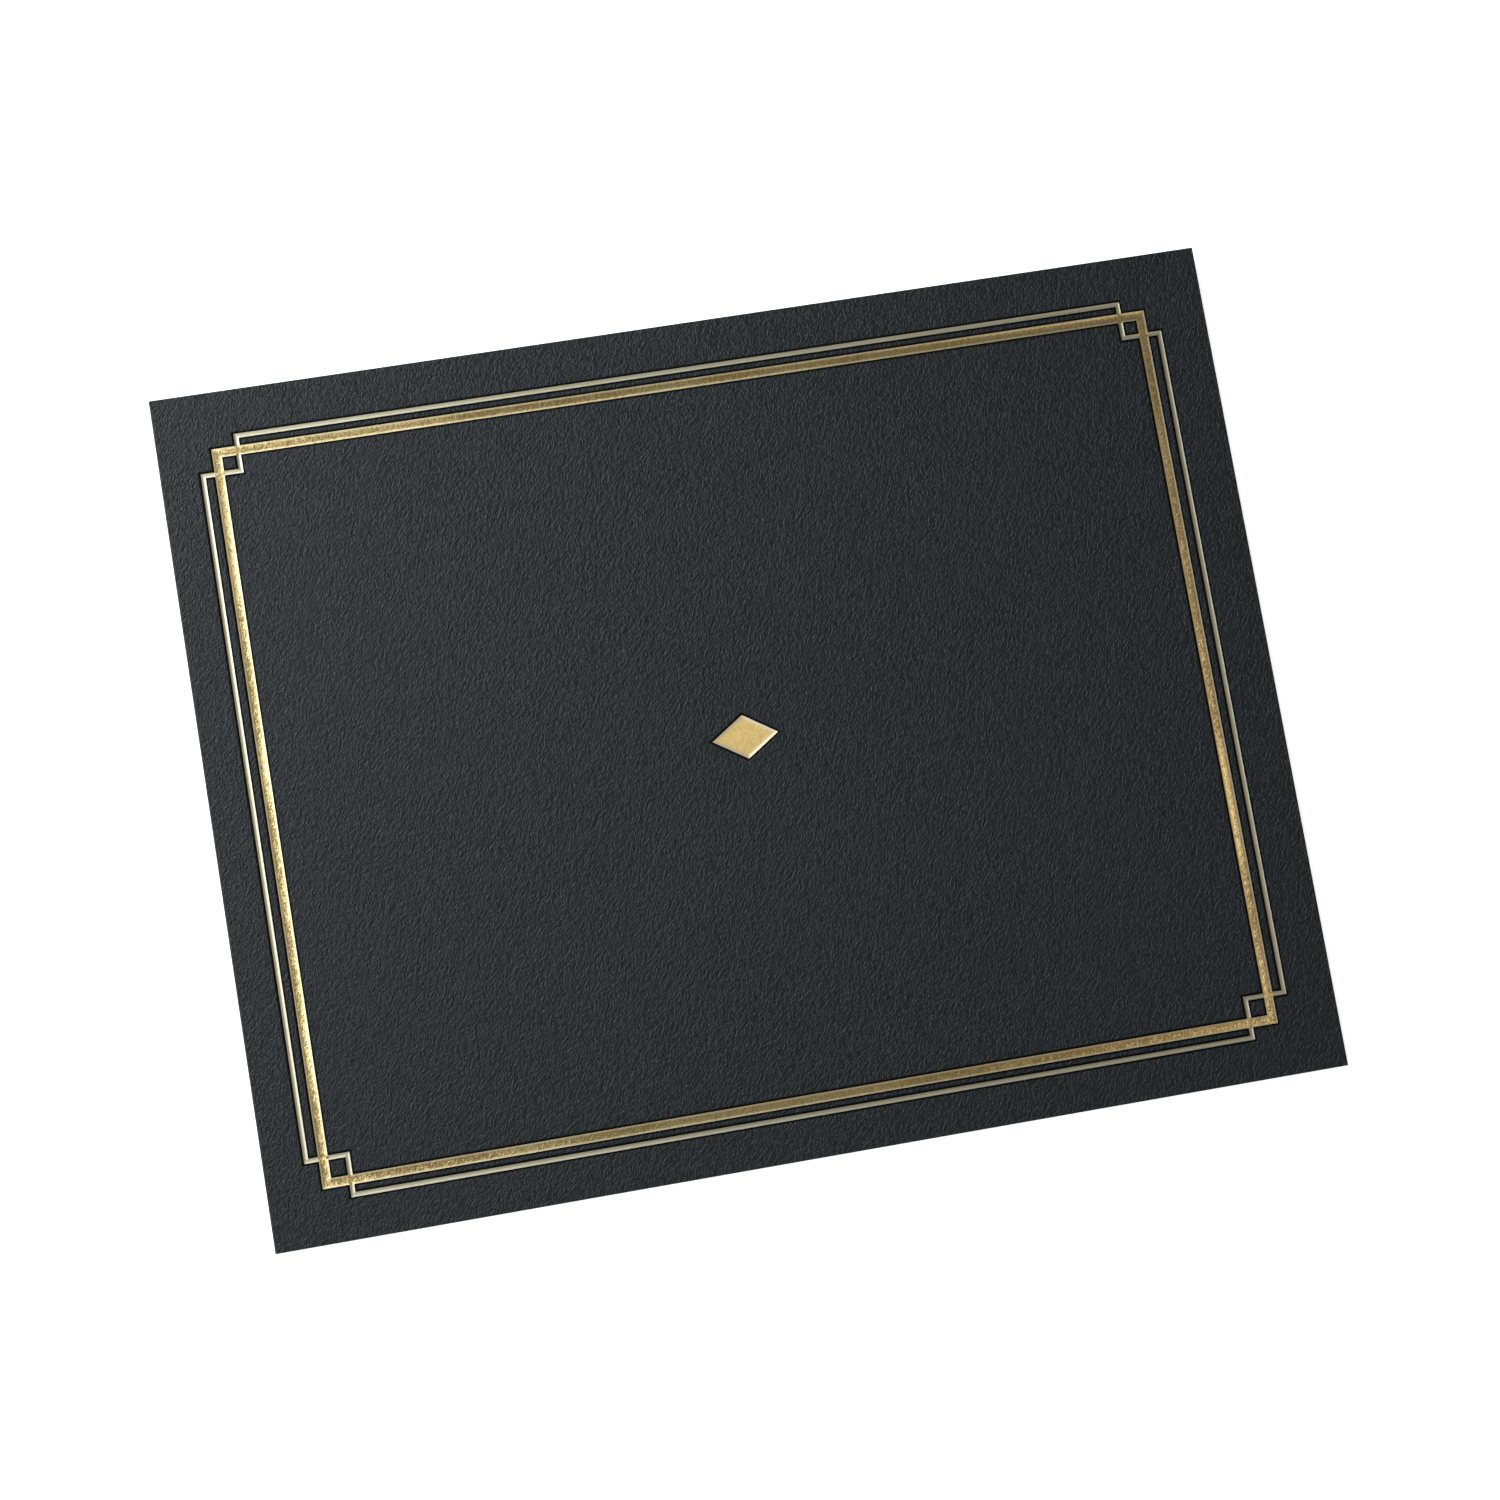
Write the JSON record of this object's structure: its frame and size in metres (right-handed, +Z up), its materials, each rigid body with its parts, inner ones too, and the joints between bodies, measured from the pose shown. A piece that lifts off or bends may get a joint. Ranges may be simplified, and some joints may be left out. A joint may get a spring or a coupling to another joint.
{
  "type": "diploma cover",
  "caption": "Thin leather-grained card cover, folded once like a book, with a stamped gold foil border and a small gold diamond on its front.",
  "frame": {"origin": "under the middle of the back cover, on the surface that the closed cover lies on", "axes": "+X from the fold to the free edge, +Y from the foot to the head of the cover, +Z up out of the front cover"},
  "size_m": [0.3048, 0.2414, 0.0032],
  "materials": {
    "card": "satin",
    "foil": "satin"
  },
  "bodies": {
    "back": {"back_cover": "card"},
    "front": {"front_cover": "card", "foil_border": "foil", "foil_diamond": "foil"}
  },
  "joints": [
    {"name": "front_cover_hinge", "type": "hinge", "parent": "back", "child": "front", "pos_m": [-0.1524, 0, 0.00055], "axis": [0, -1, 0], "range_deg": [0, 179.6]}
  ]
}
